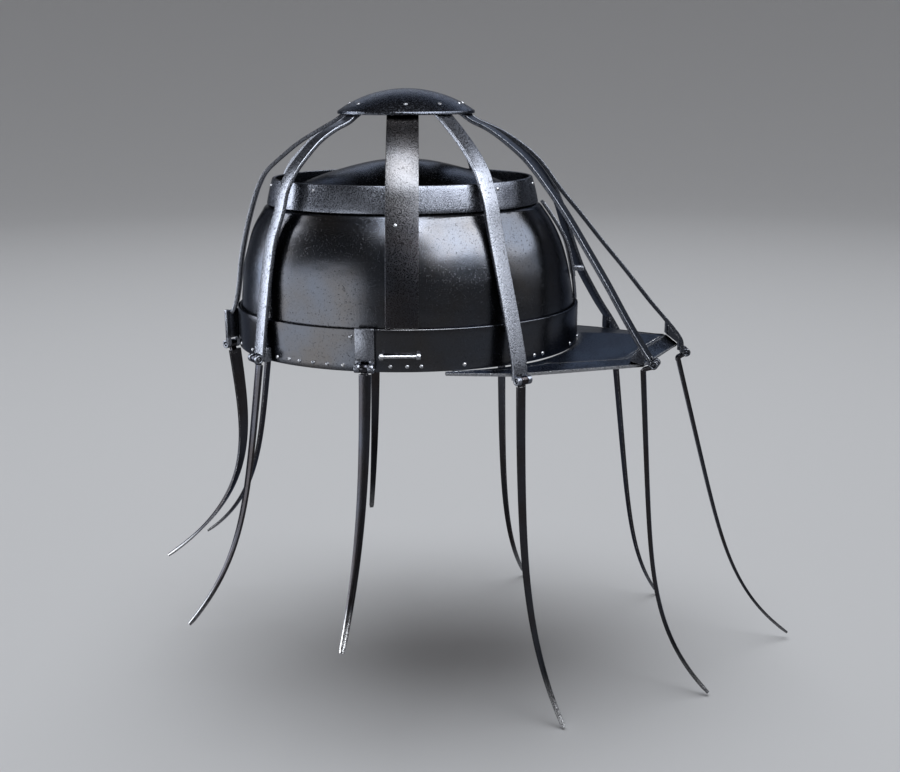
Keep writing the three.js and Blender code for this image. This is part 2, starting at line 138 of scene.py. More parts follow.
def range_of(tree, source, output, low, high, new_low=0.0, new_high=1.0):
    """Spreads the values between low and high over a new range, and holds the rest at its ends."""
    ranged = tree.nodes.new("ShaderNodeMapRange")
    for entry, value in zip(("From Min", "From Max", "To Min", "To Max"), (low, high, new_low, new_high)):
        ranged.inputs[entry].default_value = value
    link(tree, source, output, ranged, "Value")
    return ranged


def arithmetic(tree, operation, first, second):
    """One step of arithmetic on two nodes, or on a node and a number."""
    node = tree.nodes.new("ShaderNodeMath")
    node.operation = operation
    for entry, value in enumerate((first, second)):
        if isinstance(value, (int, float)):
            node.inputs[entry].default_value = value
        else:
            tree.links.new(value.outputs[0], node.inputs[entry])
    return node


def mixed_colour(tree, factor, first, second):
    """Goes from the first colour to the second as the factor rises."""
    mix = tree.nodes.new("ShaderNodeMix")
    mix.data_type = "RGBA"
    tree.links.new(factor.outputs[0], mix.inputs["Factor"])
    for entry, colour in ((6, first), (7, second)):
        if isinstance(colour, tuple):
            mix.inputs[entry].default_value = colour
        else:
            tree.links.new(colour.outputs[2], mix.inputs[entry])
    return mix


def edge_mask(tree, width):
    """White where the surface turns a corner within the width, and black elsewhere."""
    bevel = tree.nodes.new("ShaderNodeBevel")
    bevel.samples = 4
    bevel.inputs["Radius"].default_value = width
    geometry = tree.nodes.new("ShaderNodeNewGeometry")
    dot = tree.nodes.new("ShaderNodeVectorMath")
    dot.operation = "DOT_PRODUCT"
    link(tree, bevel, "Normal", dot, 0)
    link(tree, geometry, "Normal", dot, 1)
    return range_of(tree, dot, "Value", *RANGES["edge"])


def dark_steel(name, blue, brown, smooth, rough, pits, edge, speckle):
    """Oiled steel: two-colour clouds, pits, faint scratches, bright edges, real wear and painted
    highlights.
    """
    material = bpy.data.materials.new(name)
    material.use_nodes = True
    tree = material.node_tree
    shader = tree.nodes["Principled BSDF"]
    shader.inputs["Metallic"].default_value = 1.0
    shader.inputs["Specular Tint"].default_value = GRAZING_TINT
    place = tree.nodes.new("ShaderNodeTexCoord")
    clouds = noise_of(tree, place, CLOUD_SCALE, 4)
    fine = noise_of(tree, place, speckle, 3)
    coarse = noise_of(tree, place, speckle * PIT_SCALE, 2)
    lines = noise_of(tree, place, SCRATCH_SCALE, 2, SCRATCH_STRETCH)
    cloud = range_of(tree, clouds, "Fac", *RANGES["cloud"])
    grain = range_of(tree, fine, "Fac", *RANGES["grain"])
    pit = range_of(tree, coarse, "Fac", *RANGES["pit"])
    scratch = range_of(tree, lines, "Fac", *RANGES["scratch"])
    spots = range_of(tree, fine, "Fac", *RANGES["spots"])
    wear_and_sheen = tree.nodes.new("ShaderNodeAttribute")
    wear_and_sheen.attribute_name = "wear_and_sheen"
    # The attribute lifts the colour towards bright steel: real wear on the bar tips and the peak, and a
    # painted highlight at the straps' bend.
    rubbed_and_sheen = arithmetic(tree, "MULTIPLY", range_of(tree, wear_and_sheen, "Fac", 0.0, 1.0), spots)
    edges = arithmetic(tree, "MULTIPLY", edge_mask(tree, edge), grain)
    bright = arithmetic(tree, "MAXIMUM", edges, rubbed_and_sheen)

    lighter = tuple(GRAIN_LIFT * part for part in blue[:3]) + (1,)
    clouded = mixed_colour(tree, cloud, blue, brown)
    grained = arithmetic(tree, "MULTIPLY", grain, pits * SHARE["grain"])
    lifted = mixed_colour(tree, grained, clouded, lighter)
    dulled = mixed_colour(tree, arithmetic(tree, "MULTIPLY", pit, pits), lifted, PIT_BLACK)
    link(tree, mixed_colour(tree, bright, dulled, BRIGHT_WEAR_AND_SHEEN), 2, shader, "Base Color")

    gloss = range_of(tree, fine, "Fac", *RANGES["gloss"], smooth, rough)
    duller = arithmetic(tree, "ADD", gloss, arithmetic(tree, "MULTIPLY", pit, pits * SHARE["dull_pit"]))
    dullest = arithmetic(tree, "ADD", duller, arithmetic(tree, "MULTIPLY", rubbed_and_sheen, SHARE["dull_worn"]))
    link(tree, dullest, 0, shader, "Roughness")

    raised = arithmetic(tree, "MULTIPLY", grain, pits)
    sunk = arithmetic(tree, "ADD", pit, arithmetic(tree, "MULTIPLY", scratch, SHARE["scratch"]))
    bump = tree.nodes.new("ShaderNodeBump")
    bump.inputs["Strength"].default_value = BUMP["pits"] * pits + BUMP["least"]
    bump.inputs["Distance"].default_value = BUMP["deep"]
    link(tree, arithmetic(tree, "SUBTRACT", raised, sunk), 0, bump, "Height")
    link(tree, bump, "Normal", shader, "Normal")
    return material


BLUE_BLACK = (0.046, 0.050, 0.060, 1)
BROWN_BLACK = (0.046, 0.043, 0.042, 1)
STRIP_BLUE = (0.120, 0.125, 0.142, 1)
STRAP_BLUE = (0.036, 0.038, 0.046, 1)
BAR_BROWN = (0.030, 0.026, 0.026, 1)
RING_GREY = (0.110, 0.116, 0.135, 1)
STRAP_BLACK = (0.024, 0.025, 0.030, 1)
PEAK_BLUE = (0.050, 0.060, 0.080, 1)
RIVET_GREY = (0.30, 0.30, 0.31, 1)
# each steel: name, two colours, smoothest and roughest, depth of pits, width of bright edges, speckle
SKULL_STEEL = dark_steel("oiled_skull_steel", BLUE_BLACK, BROWN_BLACK, 0.13, 0.27, 0.42, 0.0007, 1700)
BAND_STEEL = dark_steel("oiled_band_steel", BLUE_BLACK, BROWN_BLACK, 0.14, 0.28, 0.30, 0.0005, 1600)
STRIP_STEEL = dark_steel("pitted_strip_steel", STRIP_BLUE, RING_GREY, 0.24, 0.38, 0.6, 0.0006, 1100)
# painted shade: a darker copy of the strip steel, which makes the three front strips look shaded
SHADED_FRONT_STEEL = dark_steel("dark_strip_steel", BLUE_BLACK, STRAP_BLUE, 0.24, 0.38, 0.6, 0.0008, 1100)
STRAP_STEEL = dark_steel("pitted_strap_steel", STRAP_BLACK, BAR_BROWN, 0.22, 0.36, 0.6, 0.0006, 1400)
RING_STEEL = dark_steel("pitted_ring_steel", RING_GREY, STRAP_BLUE, 0.22, 0.36, 0.6, 0.0006, 1400)
DISC_STEEL = dark_steel("scratched_disc_steel", BLUE_BLACK, STRAP_BLUE, 0.15, 0.32, 0.8, 0.0006, 1000)
PEAK_STEEL = dark_steel("peak_steel", PEAK_BLUE, STRAP_BLUE, 0.20, 0.36, 0.6, 0.0009, 1400)
BAR_STEEL = dark_steel("bar_steel", STRAP_BLUE, BAR_BROWN, 0.14, 0.25, 0.2, 0.0005, 1100)
RIVET_STEEL = dark_steel("rivet_steel", RIVET_GREY, STRIP_BLUE, 0.25, 0.45, 0.4, 0.0003, 900)
print("steels:", ", ".join(m.name for m in bpy.data.materials if m.name.endswith("steel")))

# %% [markdown]
# ## Finishing a piece
#
# Every piece is shaped in a bmesh and then becomes an object whose own place stays at the origin. Its
# doubles are merged, its faces are turned outwards, and only edges sharper than a set angle stay crisp.

# %% Finishing a piece
SHARP = math.radians(32)
DOUBLES = 1e-4


def finish(bm, name, material, body, nodes=(), place=None, closed=True, sharp=SHARP):
    """Makes a bmesh in millimetres into a named piece in metres that rides a body."""
    bmesh.ops.remove_doubles(bm, verts=bm.verts, dist=DOUBLES)
    if closed:
        bmesh.ops.recalc_face_normals(bm, faces=bm.faces)
    bmesh.ops.transform(bm, matrix=Matrix.Scale(MM, 4) @ (place or Matrix.Identity(4)), verts=bm.verts)
    mesh = bpy.data.meshes.new(name)
    bm.to_mesh(mesh)
    bm.free()
    mesh.shade_smooth()
    mesh.set_sharp_from_angle(angle=sharp)
    mesh.materials.append(material)
    piece = bpy.data.objects.new(name, mesh)
    bpy.context.scene.collection.objects.link(piece)
    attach(piece, body)
    if nodes:
        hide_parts(*nodes)
    print(name, len(mesh.polygons), "faces")
    return piece


def facing(azimuth):
    """Turns a piece made facing +Y to face an azimuth, counted from the brow towards the right side."""
    return Matrix.Rotation(math.pi - math.radians(azimuth), 4, "Z")


def with_wall(piece, thick, edge=0.0):
    """Gives a sheet its thickness inwards or downwards, and soft edges if asked."""
    wall = piece.modifiers.new("wall", "SOLIDIFY")
    wall.thickness = thick * MM
    wall.offset = -1
    if edge:
        soft = piece.modifiers.new("soft edge", "BEVEL")
        soft.width = edge * MM
        soft.segments = 2
        soft.limit_method = "ANGLE"
        soft.angle_limit = math.radians(50)


# %% [markdown]
# ## Skull
#
# The bowl was raised from one sheet: steep sides, a shoulder, and a low crown. It could be sculpted, but
# a turned profile gives its levels exactly. The bowl is then squeezed in width, because a head is longer
# than it is wide, and each dent is a small push inwards. The wall comes last, as a modifier.

# %% Skull
SKULL = [(0.6, 112.2), (27, 112.2), (42, 110.4), (55, 108.3), (66, 105.2), (75, 101.6), (82, 98), (88, 94),
         (91.5, 91.4), (94, 86.6), (101, 76), (107, 64), (112.2, 50), (117, 33), (120.3, 17), (121.6, 0)]
SKULL_WALL, SKULL_ROWS, SKULL_STEPS = 1.8, 90, 240
BAND_LONG, BAND_WIDE, BAND_HIGH = 115, 98, 26.5
RING_LOW, RING_CENTRE = 93.4, 2.9
HAMMERED = (BAND_HIGH + 1, 91)  # lowest and highest level of the dents
MEAN_RADIUS = 100
DENT_FADE, DENT_REACH = 1.6, 6
HAMMER = {"deep": 0.14, "marks": 7, "slant": 3, "tall": 9, "short": 6.5}
WIDTH_RATIO = {"rim": 0.8485, "ring": 0.886}
DENTS = [  # azimuth, height, radius across, radius up, depth
    (43, 77, 16, 13, 1.1), (76.5, 80, 5, 3.5, 0.18), (118.5, 63, 9, 1.8, 0.10), (112, 61, 6, 1.5, 0.10),
    (124, 60, 6, 1.5, 0.09), (115, 58.5, 5, 1.3, 0.08), (141, 52, 4, 18, 0.12), (108, 44, 3, 16, 0.12),
    (105, 48, 2.4, 12, 0.10), (66, 57, 12, 5, 0.2), (-50, 72, 14, 12, 0.9), (-100, 60, 16, 9, 0.4),
    (175, 66, 13, 10, 0.5),
]


def smooth_through(points, steps):
    """Points along an even Catmull-Rom curve through rows of numbers."""
    spans = len(points) - 1
    found = []
    for step in range(steps + 1):
        along = step / steps * spans
        left = min(int(along), spans - 1)
        t = along - left
        four = [points[max(left - 1, 0)], points[left], points[left + 1], points[min(left + 2, spans)]]
        found.append(tuple(0.5 * (2 * b + (c - a) * t + (2 * a - 5 * b + 4 * c - d) * t * t
                                  + (3 * b - a - 3 * c + d) * t ** 3) for a, b, c, d in zip(*four)))
    return found


def turned(profile, steps):
    """Full turn of an open or closed profile of (radius, height) round the upright axis."""
    bm = bmesh.new()
    points = [bm.verts.new((radius, 0, height)) for radius, height in profile]
    lines = [bm.edges.new(pair) for pair in zip(points, points[1:])]
    bmesh.ops.spin(bm, geom=points + lines, cent=(0, 0, 0), axis=(0, 0, 1), angle=math.tau,
                   steps=steps, use_merge=True)
    bmesh.ops.remove_doubles(bm, verts=bm.verts, dist=DOUBLES)
    return bm


def sink(azimuth, height, dent):
    """How deep one dent is at a place on the bowl; it fades away from its middle."""
    at, level, across, up, depth = dent
    side = math.radians((azimuth - at + 180) % 360 - 180) * MEAN_RADIUS
    far = (side / across) ** 2 + ((height - level) / up) ** 2
    return depth * math.exp(-DENT_FADE * far) if far < DENT_REACH else 0.0


def pushed_in(azimuth, height):
    """Depth of all dents, with the shallow waves that the raising hammer left."""
    turn = math.radians(azimuth)
    wave = math.sin(HAMMER["marks"] * turn + height / HAMMER["tall"])
    ripple = math.sin(height / HAMMER["short"] + HAMMER["slant"] * turn)
    return sum(sink(azimuth, height, dent) for dent in DENTS) + HAMMER["deep"] * (1 + wave * ripple)


def build_skull():
    """Spins the bowl, pushes in its dents, and squeezes it to the oval of a head."""
    bm = turned([(half, z) for z, half in smooth_through(SKULL, SKULL_ROWS)], SKULL_STEPS)
    for vert in bm.verts:
        reach = Vector((vert.co.x, vert.co.y))
        azimuth = math.degrees(math.atan2(-vert.co.x, -vert.co.y))
        if HAMMERED[0] < vert.co.z < HAMMERED[1] and reach.length > 1:
            inward = pushed_in(azimuth, vert.co.z)
            vert.co.x *= 1 - inward / reach.length
            vert.co.y *= 1 - inward / reach.length
        climb = min(max((vert.co.z - BAND_HIGH) / (RING_LOW - BAND_HIGH), 0), 1)
        vert.co.x *= WIDTH_RATIO["rim"] + (WIDTH_RATIO["ring"] - WIDTH_RATIO["rim"]) * climb
        vert.co.y += RING_CENTRE * climb
    bmesh.ops.recalc_face_normals(bm, faces=bm.faces)
    skull = finish(bm, "skull_bowl", SKULL_STEEL, "root", ["skull"], closed=False)
    with_wall(skull, SKULL_WALL)


build_skull()

# %% [markdown]
# ## Band, ring and disc
#
# The brow band and the upper ring are flat steel bent into hoops, and the disc at the top is a shallow
# cap. Each is a small cross-section turned all the way round. The section is a square face whose corners
# are bevelled first, so that every hoop has the soft edges of filed steel.

# %% Band, ring and disc
BAND = {"half": BAND_LONG, "ratio": BAND_WIDE / BAND_LONG, "low": 0, "high": BAND_HIGH, "wall": 2.5,
        "crown": 0.0, "taper": 0.0, "middle": 0}
RING = {"half": 90.3, "ratio": 80 / 90.3, "low": RING_LOW, "high": 110, "wall": 2.2, "crown": 0.3,
        "taper": 4.2, "middle": RING_CENTRE}
HOOP_CORNER, HOOP_STEPS = 0.6, 192
DISC = {"radius": 45, "edge": 152.2, "rise": 14.2, "wall": 1.6, "inset": 0.3, "corner": 0.5, "lip": 1.3}
DISC_ROWS, DISC_STEPS = 24, 144


def filed_section(bm, wide, high, corner):
    """Flat face in X and Y with rounded corners."""
    flat = bmesh.ops.create_grid(bm, x_segments=1, y_segments=1, size=0.5)["verts"]
    bmesh.ops.scale(bm, vec=(wide, high, 1), verts=flat)
    bmesh.ops.bevel(bm, geom=flat, affect="VERTICES", offset=corner, segments=3, profile=0.5, material=-1)
    return list(bm.faces)[-1]


def hoop(shape, name, material, node):
    """Spins an upright section of flat steel into an oval hoop that leans inwards."""
    bm = bmesh.new()
    high = shape["high"] - shape["low"]
    filed_section(bm, shape["wall"], high, HOOP_CORNER)
    middle = (shape["low"] + shape["high"]) / 2
    upright = Matrix.Translation((shape["half"] - shape["wall"] / 2, 0, middle)) @ Matrix.Rotation(
        math.pi / 2, 4, "X")
    bmesh.ops.transform(bm, matrix=upright, verts=bm.verts)
    bmesh.ops.delete(bm, geom=list(bm.faces), context="FACES_ONLY")
    long_sides = [edge for edge in bm.edges if edge.calc_length() > high / 2]
    bmesh.ops.subdivide_edges(bm, edges=long_sides, cuts=6)
    for vert in bm.verts:
        level = (vert.co.z - middle) / (high / 2)
        vert.co.x -= shape["crown"] * level ** 2 + shape["taper"] * (level + 1) / 2
    bmesh.ops.spin(bm, geom=list(bm.verts) + list(bm.edges), cent=(0, 0, 0), axis=(0, 0, 1),
                   angle=math.tau, steps=HOOP_STEPS, use_merge=True)
    bmesh.ops.scale(bm, vec=(shape["ratio"], 1, 1), verts=bm.verts)
    bmesh.ops.translate(bm, vec=(0, shape["middle"], 0), verts=bm.verts)
    finish(bm, name, material, "root", [node])


def ball_of_disc():
    """Radius of the ball that the disc is cut from, and the height of its centre."""
    ball = (DISC["radius"] ** 2 + DISC["rise"] ** 2) / (2 * DISC["rise"])
    return ball, DISC["edge"] + DISC["rise"] - ball


def build_disc():
    """Spins the section of a shallow cap: its outer side, its rim and its inner side."""
    ball, centre = ball_of_disc()
    thin = ball - DISC["wall"]
    radii = [DISC["radius"] * step / DISC_ROWS for step in range(DISC_ROWS)]
    radii.append(DISC["radius"] - DISC["inset"])
    outer = [(radius, centre + math.sqrt(ball ** 2 - radius ** 2)) for radius in radii]
    inner = [(radius, centre + math.sqrt(thin ** 2 - radius ** 2)) for radius in radii]
    rim = [(DISC["radius"], DISC["edge"] - DISC["corner"]), (DISC["radius"], DISC["edge"] - DISC["lip"])]
    cap = turned(outer + rim + inner[::-1], DISC_STEPS)
    finish(cap, "top_cap", DISC_STEEL, "root", ["top_disc"])


hoop(BAND, "band_hoop", BAND_STEEL, "brow_band")
hoop(RING, "ring_hoop", RING_STEEL, "upper_ring")
build_disc()

# %% [markdown]
# ## Forging along a line
#
# Strips, straps and bars are all drawn out from flat stock, and bent over the edge of an anvil. A curve
# with a bevel profile could do that, but it can't change width and thickness on its own. Here one filed
# section is extruded row by row, and each step carries the section from one row's place to the next.

# %% Forging along a line
def places_of(rows):
    """Place of the section at each row: middle point, turn about the line, width and thickness."""
    places = []
    for number, row in enumerate(rows):
        before = Vector(rows[max(number - 1, 0)]["at"])
        after = Vector(rows[min(number + 1, len(rows) - 1)]["at"])
        up = (before - after).normalized()
        side = (Vector((1, 0, 0)) - up * up.x).normalized()
        outward = up.cross(side)
        frame_axes = Matrix((side, outward, up)).transposed().to_4x4()
        places.append(Matrix.Translation(row["at"]) @ frame_axes
                      @ Matrix.Rotation(row.get("twist", 0.0), 4, "Z")
                      @ Matrix.Diagonal((row["wide"], row["thick"], 1, 1)))
    return places


def forge(bm, rows, section):
    """Extrudes a face made by section(bm), one unit wide and thick, along the rows."""
    wear_and_sheen = bm.verts.layers.float.get("wear_and_sheen") or bm.verts.layers.float.new("wear_and_sheen")
    before = set(bm.verts)
    face = section(bm)
    places = places_of(rows)
    moving = [vert for vert in bm.verts if vert not in before]
    bmesh.ops.transform(bm, matrix=places[0], verts=moving)
    for vert in moving:
        vert[wear_and_sheen] = rows[0].get("wear_and_sheen", 0.0)
    for number in range(1, len(rows)):
        made = bmesh.ops.extrude_face_region(bm, geom=[face])["geom"]
        if number > 1:  # the first face closes the end, and the others would stay inside
            bmesh.ops.delete(bm, geom=[face], context="FACES_ONLY")
        moving = [part for part in made if isinstance(part, bmesh.types.BMVert)]
        face = next(part for part in made if isinstance(part, bmesh.types.BMFace))
        bmesh.ops.transform(bm, matrix=places[number] @ places[number - 1].inverted(), verts=moving)
        for vert in moving:
            vert[wear_and_sheen] = rows[number].get("wear_and_sheen", 0.0)


def flat_stock(wide, thick, corner=0.45):
    """Section of flat stock whose corners stay round once it is scaled to its real size."""
    def section(bm):
        face = filed_section(bm, wide, thick, corner)
        bmesh.ops.scale(bm, vec=(1 / wide, 1 / thick, 1), verts=face.verts)
        return face
    return section


def along_path(path, wide, thick, steps):
    """Rows of one width along a smooth path of (outward, up)."""
    return [{"at": (0, out, up), "wide": wide, "thick": thick} for out, up in smooth_through(path, steps)]


sample = bmesh.new()
filed_section(sample, 11, 2.5, 0.45)
print("the section of flat stock has", len(sample.verts), "points")
sample.free()

# %% [markdown]
# ## Hinges
#
# The foot of each strip is a fork: two curls of steel hold a pin, and the knuckle of a bar turns between
# them. A tube could be cut from a cylinder, but a filed section spun round the pin's line has its soft
# edges at once. The fork's slot is the gap between the two curls.

# %% Hinges
HINGE = {"barrel": 2.8, "pin": 1.2, "bore": 1.5, "slot": 5.0, "knuckle": 4.4, "stand_off": 3.2, "room": 0.9,
         "corner": 0.35}


def curl(bm, left, right, barrel=HINGE["barrel"], bore=HINGE["bore"], place=None):
    """Short tube round the X axis, from left to right."""
    part = bmesh.new()
    filed_section(part, right - left, barrel - bore, HINGE["corner"])
    bmesh.ops.translate(part, vec=((left + right) / 2, (barrel + bore) / 2, 0), verts=part.verts)
    bmesh.ops.delete(part, geom=list(part.faces), context="FACES_ONLY")
    bmesh.ops.spin(part, geom=list(part.verts) + list(part.edges), cent=(0, 0, 0), axis=(1, 0, 0),
                   angle=math.tau, steps=32, use_merge=True)
    add_part(bm, part, place)


def pin(bm, long, radius=HINGE["pin"], dome=0.5, place=None):
    """Round pin along the X axis with rounded ends."""
    part = bmesh.new()
    bmesh.ops.create_cone(part, cap_ends=True, segments=24, radius1=radius, radius2=radius, depth=long)
    bmesh.ops.rotate(part, matrix=Matrix.Rotation(math.pi / 2, 3, "Y"), verts=part.verts)
    ends = [edge for edge in part.edges if abs(edge.verts[0].co.x - edge.verts[1].co.x) < 0.01]
    bmesh.ops.bevel(part, geom=ends, affect="EDGES", offset=dome, segments=3, profile=0.5, material=-1)
    add_part(bm, part, place)


def plain_block(bm, size, at, edge=0.4, place=None):
    """Block of a size round a middle point, with its edges softened."""
    part = bmesh.new()
    bmesh.ops.create_cube(part, size=1)
    bmesh.ops.scale(part, vec=size, verts=part.verts)
    bmesh.ops.bevel(part, geom=list(part.edges), affect="EDGES", offset=edge, segments=2, profile=0.5,
                    material=-1)
    bmesh.ops.translate(part, vec=at, verts=part.verts)
    add_part(bm, part, place)


def add_part(bm, part, place=None):
    """Joins a closed part, with its faces turned outwards, to the piece being made."""
    bmesh.ops.remove_doubles(part, verts=part.verts, dist=DOUBLES)
    bmesh.ops.recalc_face_normals(part, faces=part.faces)
    if place is not None:
        bmesh.ops.transform(part, matrix=place, verts=part.verts)
    spare = bpy.data.meshes.new("spare")
    part.to_mesh(spare)
    part.free()
    bm.from_mesh(spare)
    bpy.data.meshes.remove(spare)


def hinge_place(name, azimuth):
    """Where a hinge lies in the frame of a piece that faces its azimuth: across, outward and up."""
    return facing(azimuth).inverted() @ (Vector(HINGE_LINES[name]["pos_m"]) / MM)


def top_of_slot(axis):
    """Level at which the slot for a bar's knuckle begins."""
    return axis.z + HINGE["barrel"] + HINGE["room"]


def fork(bm, axis, wide, turn):
    """Two curls with a pin through them, at the foot of a strip or plate."""
    place = Matrix.Translation(axis) @ Matrix.Rotation(turn, 4, "Z")
    for side in (-1, 1):
        ends = sorted((side * HINGE["slot"] / 2, side * wide / 2))
        curl(bm, ends[0], ends[1], place=place)
    pin(bm, wide - 1, place=place)
    return place


print("hinge barrels are", 2 * HINGE["barrel"], "mm across")

# %% [markdown]
# ## Strips of the cage
#
# Eight narrow strips run from under the disc, over the ring, to a hinge at the rim. Above its hinge each
# strip splits in two cheeks, so that the bar's knuckle has room to swing. The wide strip and its cheeks
# are forged along the same line, and small blocks and wedges seat the feet.

# %% Strips of the cage
STRIP = {"wide": 11, "thick": 2.5, "cheek": 3.0, "overlap": 4, "steps": 150}
UNDER_DISC = [(30, 156.2), (41, 149.8), (47, 145.8)]
PATHS = {
    "front": [(61.5, 139.4), (75, 130.9), (88, 119.7), (102, 101.2), (116, 84.5), (131, 66), (148, 45.8),
              (165.5, 24.2), (178.6, 9.2), (186.8, -1.5), (188.2, -8.7)],
    "front_right": [(58, 140.8), (69.4, 133.2), (82.9, 121.9), (96.4, 105.9), (109.9, 87.4), (123.5, 66.3),
                    (137.2, 44.6), (150.9, 21.5), (162.8, 3), (166.4, -2.1)],
    "front_left": [(58, 141.4), (72, 134.4), (87, 124.6), (99.6, 113), (107.7, 101.6), (114.8, 87.8),
                   (121.4, 70), (128, 53), (134.8, 38.2), (148.7, 15.6), (159, 1), (165.2, -9)],
    "corner": [(60.3, 136.2), (70.8, 127.2), (79.6, 117.2), (84.4, 108), (88.5, 98.5), (92.5, 84),
               (96.3, 71.5), (103.9, 48), (111.2, 24.8), (116.6, 5), (117.6, -2.7)],
    "rear_right": [(57, 141.6), (67.5, 135.4), (76.4, 127.6), (86, 117.2), (92.7, 105.8), (96, 94),
                   (99.6, 84.2), (103, 75), (106.6, 57.5), (109.6, 38.9), (112.4, 20.1), (114.4, 5.4)],
    "rear_left": [(57, 141.6), (67.5, 135.4), (76.4, 127.6), (87.6, 117.2), (94.8, 105.8), (98.4, 94),
                  (101.2, 84), (105, 73), (108.4, 57.5), (111.3, 38.9), (113, 20.1), (114, 5.4)],
    "rear": [(57, 140.2), (70, 132.5), (81.5, 123.6), (92, 114.3), (97.2, 106), (101.4, 95.5), (107, 77),
             (111.6, 57), (114, 40), (116, 29), (118.2, 22)],
}
AZIMUTHS = {"front": 0, "front_right": 22, "front_left": -22, "corner_right": 55, "corner_left": -53.5,
            "rear_right": 145, "rear_left": -152, "rear": 180}
REAR_TURN = math.radians(-42)
TURNED_FOOT = {"join": 20, "cheek": 24, "cheek_middle": 12, "block": 19, "block_middle": 14}
BAND_BLOCK = {"high": 9, "middle": 5.1, "gap": 0.7}
HIPS = 100  # the split of a strip lies further out than this
WEDGES = {
    "front": [(177.6, 0.9), (177.6, 8.6), (181.4, 6), (186, -1.5), (184.8, -4.4), (178.2, 0.8)],
    "front_right": [(154, -2.9), (159.4, 6.4), (164.4, -1), (162.3, -4.9), (154.4, -3)],
    "front_left": [(157, -7.2), (157, 3), (159, 1.4), (163.4, -7.5), (161.6, -9.0)],
}


def band_radius(azimuth, grow):
    """Distance from the middle to the band's face, or to a line a little outside it."""
    turn = math.radians(azimuth)
    return 1 / math.hypot(math.sin(turn) / (BAND_WIDE + grow), math.cos(turn) / (BAND_LONG + grow))


def outline_block(bm, outline, wide, edge=0.3):
    """Flat outline of (outward, up) pushed out to a width, with its edges softened."""
    part = bmesh.new()
    face = part.faces.new([part.verts.new((-wide / 2, out, up)) for out, up in outline])
    made = bmesh.ops.extrude_face_region(part, geom=[face])["geom"]
    pushed = [item for item in made if isinstance(item, bmesh.types.BMVert)]
    bmesh.ops.translate(part, vec=(wide, 0, 0), verts=pushed)
    bmesh.ops.bevel(part, geom=list(part.edges), affect="EDGES", offset=edge, segments=2, profile=0.5,
                    material=-1)
    add_part(bm, part)


def split_at(path, level):
    """Cuts a smooth line where it first comes down to a level."""
    line = smooth_through(path, STRIP["steps"])
    below = (i for i, (out, up) in enumerate(line) if up < level and out > HIPS)
    cut = next(below, len(line) - 1)
    return line[:cut + 1], line[cut:]


def build_strip(name):
    """Forges one strip with its fork, its two cheeks and what seats its foot."""
    azimuth = AZIMUTHS[name]
    key = "corner" if name.startswith("corner") else name
    turn = REAR_TURN if name == "rear" else 0.0
    axis = hinge_place(name, azimuth)
    face = axis.y - HINGE["stand_off"]
    end = (face + STRIP["thick"] / 2, TURNED_FOOT["join"]) if turn else (face, axis.z)
    upper, lower = split_at(UNDER_DISC + PATHS[key] + [end], top_of_slot(axis))
    bm = bmesh.new()
    rows = [{"at": (0, out, up), "wide": STRIP["wide"], "thick": STRIP["thick"]} for out, up in upper[::2]]
    forge(bm, rows + [dict(rows[-1], at=(0, *upper[-1]))], flat_stock(STRIP["wide"], STRIP["thick"]))
    shift = HINGE["slot"] / 2 + STRIP["cheek"] / 2
    place = fork(bm, axis, STRIP["wide"], turn)
    back = STRIP["thick"] / 2 - HINGE["stand_off"]
    for side in (-1, 1):
        if turn:
            size = (STRIP["cheek"], STRIP["thick"], TURNED_FOOT["cheek"])
            plain_block(bm, size, (side * shift, back, TURNED_FOOT["cheek_middle"]), place=place)
        else:
            cheek = [{"at": (side * shift, out, up), "wide": STRIP["cheek"], "thick": STRIP["thick"]}
                     for out, up in lower]
            first = dict(cheek[0], at=(side * shift, *upper[-STRIP["overlap"]]))
            forge(bm, [first] + cheek[1:], flat_stock(STRIP["cheek"], STRIP["thick"]))
    if turn:
        size = (STRIP["wide"], STRIP["thick"], TURNED_FOOT["block"])
        plain_block(bm, size, (0, back, TURNED_FOOT["block_middle"]), place=place)
    elif name.startswith("rear"):
        deep = face - band_radius(azimuth, BAND_BLOCK["gap"])
        size = (STRIP["wide"], deep, BAND_BLOCK["high"])
        plain_block(bm, size, (0, face - deep / 2, BAND_BLOCK["middle"]))
    if key in WEDGES:
        outline_block(bm, WEDGES[key], STRIP["wide"])
    # painted shade: the front strips take the darker copy of the strip steel
    steel = SHADED_FRONT_STEEL if name.startswith("front") else STRIP_STEEL
    finish(bm, f"{name}_strip", steel, "root", [f"strip_{name}"], facing(azimuth))


for strip_name in AZIMUTHS:
    build_strip(strip_name)

# %% [markdown]
# ## Side straps and plates
#
# A broad strap runs down each side, inside the others, and ends on the top of the band. Behind it a hinge
# plate carries the side bar. Both are flat stock again, only wider.

# %% Side straps and plates
STRAP = {"wide": 20, "thick": 2.5, "corner": 0.4, "rows": 80, "centre": 4, "lean": 2}
# painted highlight: a band round the strap's bend where the colour is lifted towards bright steel (level,
# spread and strength)
BEND = {"level": 118, "spread": 26, "rubbed_and_sheen": 0.09}
STRAP_PATH = [(31, 154), (40, 148.4), (47, 143.6), (57, 137.6), (67.5, 129.5), (76, 120.2), (81.9, 110.4),
              (85.6, 99), (90, 83), (94.8, 62), (96.6, 44), (96.75, 33), (96.75, 27.1)]
PLATE = {"azimuth": 101, "wide": 12, "thick": 2.4, "high": 27.4, "overlap": 2}


